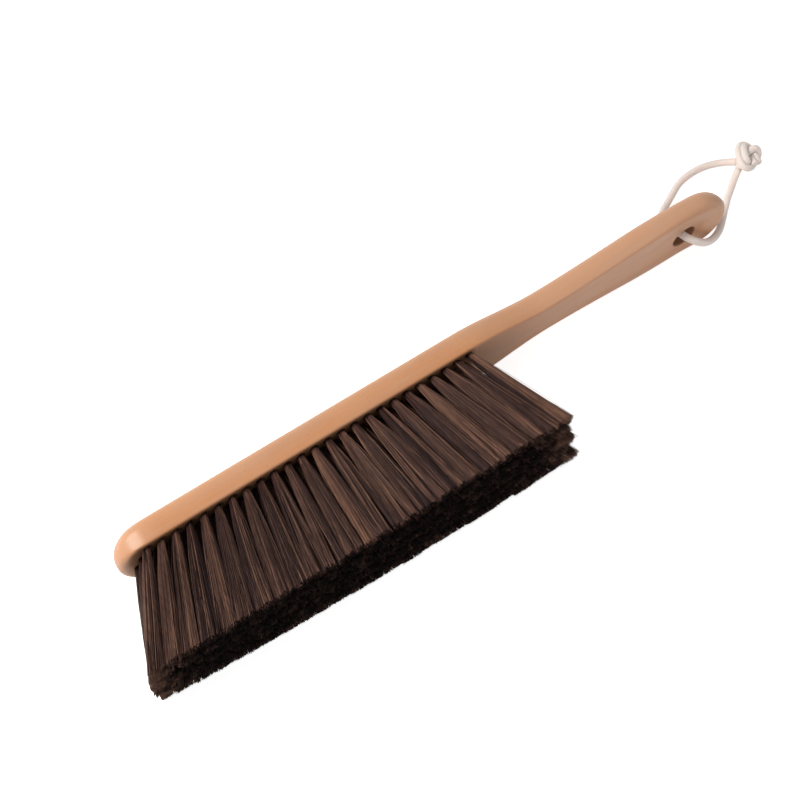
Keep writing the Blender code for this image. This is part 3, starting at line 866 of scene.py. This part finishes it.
def tuft_rows(column):
    """Offsets from the middle plane: three tufts in even columns, two between them in odd ones."""
    room = half_width(tuft_x(column) - TUFT_HOLE_RADIUS / 2) - TUFT_HOLE_RADIUS - TUFT_HOLE_WALL
    outer = min(OUTER_ROW, room)
    return (-outer, 0, outer) if column % 2 == 0 else (-ROW_STEP, ROW_STEP)


def tuft_tip(column):
    """Where along the brush a column's tips lie: they lean apart towards both ends."""
    return FIRST_TUFT - FAN_BACK_REACH + TIP_STEP * column


def column_tufts(column):
    """Root, row and tip of each tuft of a column.

    The first column also holds the three tufts that follow the head's round end."""
    x = tuft_x(column)
    tufts = [(x, row, tuft_tip(column)) for row in tuft_rows(column)]
    if column > 0:
        return tufts
    tufts[1] = (x, 0, END_TIP + CROWD_STEP)
    tufts += [(x - TUFT_STEP, row, tuft_tip(1) - CROWD_STEP) for row in tuft_rows(1)]
    return tufts + [(x - 2 * TUFT_STEP, 0, END_TIP)]


def bristle_length(x, row):
    """Free length: shorter towards the head's end, and in the rows that lie uppermost."""
    trim = ((LAST_TUFT - x) / TUFT_SPAN) ** 2
    upper = row / OUTER_ROW * (1 - UPPER_TRIM_LOSS * trim)
    return BRISTLE_LENGTH - UPPER_ROW_TRIM * upper - HEAD_END_TRIM * trim


def disc_places(rng, count):
    turn, reach = rng.uniform(0, 2 * math.pi, count), np.sqrt(rng.uniform(0, 1, count))
    return np.stack((reach * np.cos(turn), reach * np.sin(turn)), 1)


def squared(disc, side):
    """Places in a disc, moved towards the square's corners on the side where the field ends."""
    reach = np.linalg.norm(disc, axis=1) / np.abs(disc).max(axis=1)
    strength = np.where(disc[:, 1] * side > 0, OUTER_SQUARENESS, 0)
    return disc * (1 + strength * (reach - 1))[:, None] * (LOWEST_FULLNESS if side < 0 else 1)


def kept_in(offset, room_below, room_above):
    """Offsets from a tuft's middle, drawn in on a side where the bristle field ends."""
    below, above = (min(room / TIP_SPREAD, 1) for room in (room_below, room_above))
    return offset * np.where(offset < 0, below, above)


def tip_offsets(rng, disc, locks, tip, row, side, end):
    """Where a tuft's hairs end round its tip, gathered in locks and kept in the field.

    Also how far each is from the field's ends and whether it shows on the outside."""
    field_low = FIELD_LOW + HEAD_END_TRIMS[round(row / ROW_STEP) + 2]
    field_high = FIELD_HIGH - UPPER_END_TRIM * row / OUTER_ROW
    pull = OUTER_LOCK_PULL if side < 0 or end else LOCK_PULL
    offset = disc + pull * (locks - disc) + rng.normal(0, LOCK_SCATTER, disc.shape)
    offset = squared(offset, side) * TIP_SPREAD
    offset[:, 0] = kept_in(offset[:, 0], tip[0] - field_low, field_high - tip[0])
    if end == 1:
        offset[:, 0] += rng.normal(0, NECK_END_JITTER, HAIRS_IN_TUFT)
    height = tip[2] - MID_Z - SIDE_LIFT
    offset[:, 1] = kept_in(offset[:, 1], FIELD_HALF + height, FIELD_HALF - height)
    from_ends = np.minimum(tip[0] + offset[:, 0] - field_low, field_high - tip[0] - offset[:, 0])
    outside = (np.abs(offset[:, 1] + height) > OUTSIDE_FROM) | (from_ends < END_MARGIN)
    return offset, from_ends, outside


def hair_tones(rng, nearest):
    """A tone for each hair: near its tuft's and its lock's, with a few light hairs."""
    lock_tone = rng.normal(0, LOCK_TONE_SPREAD, LOCKS_IN_TUFT)[nearest]
    tone = rng.normal(MEAN_TONE, TUFT_TONE_SPREAD) + lock_tone
    tone += rng.normal(0, HAIR_TONE_SPREAD, HAIRS_IN_TUFT)
    tone = np.clip(tone, 0, COMMON_TONE_LIMIT)
    light = rng.uniform(0, 1, HAIRS_IN_TUFT) < LIGHT_HAIR_SHARE
    tone[light] = rng.uniform(*LIGHT_HAIR_TONES, light.sum())
    return tone


def tuft_hairs(rng, x, row, tip_x):
    """Centre lines of one tuft's hairs, their tones and how deep in the field they stand.

    Side and end are -1 or 1 for a tuft at the field's edge, and 0 for one inside."""
    side = np.sign(row) if abs(row) > OUTER_ROW_FROM else 0
    end = (x > LAST_TUFT - END_TUFTS) - (x < FIRST_TUFT + END_TUFTS)
    root = np.array((x, 0, MID_Z + row))
    flare = row * SIDE_FLARE / OUTER_ROW
    length = bristle_length(x, row) - (LOWEST_CORNER_TRIM if end == -1 and side < 0 else 0)
    tip = np.array((tip_x, -length, MID_Z + SIDE_LIFT + row + flare))
    tip += rng.normal(0, 1, 3) * TUFT_WANDER
    disc = disc_places(rng, HAIRS_IN_TUFT)
    locks = disc_places(rng, LOCKS_IN_TUFT)
    nearest = np.argmin(np.linalg.norm(disc[:, None] - locks[None], axis=2), axis=1)
    offset, from_ends, outside = tip_offsets(rng, disc, locks[nearest], tip, row, side, end)
    share = np.tile(HAIR_SHARES, (HAIRS_IN_TUFT, 1))
    # The last stretch of each hair takes the dark tip finish, painted shade among the tips: longer
    # for hairs inside the field
    share[:, -2] -= np.where(outside, DARK_TIP_OUTSIDE, DARK_TIP_INSIDE) / length
    inner_power, outer_power = SPREAD_POWERS[end]
    spread = share ** np.where(disc[:, 0] * end > 0, outer_power, inner_power)[:, None]
    root_spread = END_ROOT_SPREAD if end else ROOT_SPREAD
    wave = rng.normal(0, HAIR_WAVE, disc.shape)[:, None, :] * np.sin(math.pi * share)[:, :, None]
    rounded = ROUNDED_TIPS[int(side) + 1] * ((disc ** 2).sum(1) - ROUNDED_FROM)
    jitter = NECK_END_JITTER if end == 1 else CUT_JITTER
    shorter = np.maximum(rng.normal(0, jitter, HAIRS_IN_TUFT) + rounded, -LONGEST_STRAY)
    paths = root + (tip - root) * share[:, :, None]
    paths[:, :, 1] += HAIR_START * (1 - share) + shorter[:, None] * share
    for axis, way in ((0, 0), (2, 1)):
        paths[:, :, axis] += (disc[:, None, way] * root_spread * (1 - spread)
                              + offset[:, None, way] * spread + wave[:, :, way])
    paths[:, :, 2] = np.maximum(paths[:, :, 2], HAIR_RADIUS + FLOOR_MARGIN)
    tones = hair_tones(rng, nearest)
    # Share of painted shade towards the roots: most in the middle rows, little in the outer rows
    inside = np.clip(SHADE_REACH - np.abs(disc[:, 1] * ROOT_SPREAD + row) / OUTER_ROW, 0, 1)
    # How far from the field's ends: the tips' painted shade is lighter near them
    deep = np.clip(from_ends / END_DEPTH, 0, 1)
    return paths + np.array(START), tones, inside, deep


def hair_stack(count):
    """This many three-sided hairs in one place, upright, with a ring at each whole height."""
    shape = bmesh.new()
    bmesh.ops.create_cone(shape, cap_ends=True, segments=3, radius1=1, radius2=1,
                          depth=HAIR_POINTS - 1)
    upright = [edge for edge in shape.edges if abs(edge.verts[0].co.z - edge.verts[1].co.z) > 1]
    bmesh.ops.subdivide_edges(shape, edges=upright, cuts=HAIR_POINTS - 2)
    bmesh.ops.translate(shape, verts=shape.verts, vec=(0, 0, (HAIR_POINTS - 1) / 2))
    stack = loose_object("hair_stack", shape)
    copies = stack.modifiers.new("hairs", "ARRAY")
    copies.use_relative_offset = False
    copies.count = count
    return evaluated_mesh(stack, "hair_stack")


def bristle_mesh(name, paths, tones, inside, deep, radii):
    """Hairs along their centre lines, which keep their tone, share of the length and depths."""
    data = hair_stack(len(paths))
    data.name = name
    count = len(data.vertices)
    spots = np.zeros(count * 3)
    data.vertices.foreach_get("co", spots)
    spots = spots.reshape(-1, 3)
    hair = np.repeat(np.arange(len(paths)), count // len(paths))
    ring = np.round(spots[:, 2]).astype(int)
    reach = radii[hair] * HAIR_TAPER[ring]
    places = paths[hair, ring]
    places[:, 0] += reach * spots[:, 0]
    places[:, 2] += reach * spots[:, 1]
    data.vertices.foreach_set("co", places.ravel())
    for kind, values in (("hair", (tones[hair], HAIR_SHARES[ring], inside[hair])),
                         ("field", (deep[hair], deep[hair], deep[hair]))):
        kept = np.stack((*values, np.ones(count)), 1)
        data.attributes.new(kind, "FLOAT_COLOR", "POINT").data.foreach_set("color", kept.ravel())
    # Faces of each hair's last stretch take the dark tip finish with its painted shade
    for face in data.polygons:
        face.material_index = int(min(ring[index] for index in face.vertices) >= HAIR_POINTS - 2)
        face.use_smooth = face.loop_total > 3
    data.update()
    return data


def make_bristles():
    finishes = (hair_finish(), hair_end_finish())
    for column in range(TUFT_COLUMNS):
        rng = np.random.default_rng(FIRST_SEED + column)
        tufts = [tuft_hairs(rng, *tuft) for tuft in column_tufts(column)]
        paths, tones, inside, deep = (np.concatenate(parts) for parts in zip(*tufts))
        radii = HAIR_RADIUS * rng.uniform(*THICKNESS_RANGE, len(paths))
        number = f"{column + 1:02d}"
        data = bristle_mesh(f"bristles_{number}", paths, tones, inside, deep, radii)
        add_piece(data, finishes, "brush", "bristle", f"tuft_column_{number}")


# Stage and light

def make_floor():
    shape = bmesh.new()
    bmesh.ops.create_grid(shape, x_segments=1, y_segments=1, size=FLOOR_REACH)
    floor = loose_object("floor", shape)
    paint = Paint("pale_floor")
    rays = paint.node("LightPath", {}, {}).outputs
    glow = Value(paint, rays["Is Camera Ray"]) * FLOOR_SEEN_GLOW
    glow += Value(paint, rays["Is Glossy Ray"]) * FLOOR_MIRRORED_GLOW
    floor.data.materials.append(paint.finish(
        Base_Color=(0.86, 0.86, 0.86, 1), Roughness=0.9, Specular_IOR_Level=0.0,
        Emission_Color=(1, 1, 1, 1), Emission_Strength=glow))


def make_world():
    world = bpy.data.worlds.new("studio")
    bpy.context.scene.world = world
    world.use_nodes = True
    tree = world.node_tree
    tree.nodes.clear()
    rays = tree.nodes.new("ShaderNodeLightPath").outputs
    seen = tree.nodes.new("ShaderNodeMath")
    seen.operation = "MAXIMUM"
    tree.links.new(rays["Is Camera Ray"], seen.inputs[0])
    tree.links.new(rays["Is Transmission Ray"], seen.inputs[1])
    level = tree.nodes.new("ShaderNodeMapRange")
    level.inputs["To Min"].default_value = WORLD_LIGHT
    level.inputs["To Max"].default_value = WORLD_SEEN
    tree.links.new(seen.outputs[0], level.inputs["Value"])
    glow = tree.nodes.new("ShaderNodeBackground")
    glow.inputs["Color"].default_value = (1, 1, 1, 1)
    tree.links.new(level.outputs[0], glow.inputs["Strength"])
    output = tree.nodes.new("ShaderNodeOutputWorld")
    tree.links.new(glow.outputs[0], output.inputs["Surface"])


def soft_light(name, direction, distance, size, power, colour):
    """A soft round or oval lamp that faces the brush from this direction."""
    lamp = bpy.data.lights.new(name, "AREA")
    lamp.shape = "ELLIPSE"
    lamp.size, lamp.size_y = size
    lamp.energy = power
    lamp.color = colour
    away = Vector(direction).normalized()
    made = bpy.data.objects.new(name, lamp)
    made.location = away * distance
    made.rotation_euler = away.to_track_quat("Z", "Y").to_euler()
    bpy.context.collection.objects.link(made)


make_loop_and_knot()
make_body()
make_bristles()
make_floor()
make_world()
for settings in LAMPS:
    soft_light(*settings)
bpy.context.scene.view_settings.view_transform = "Standard"
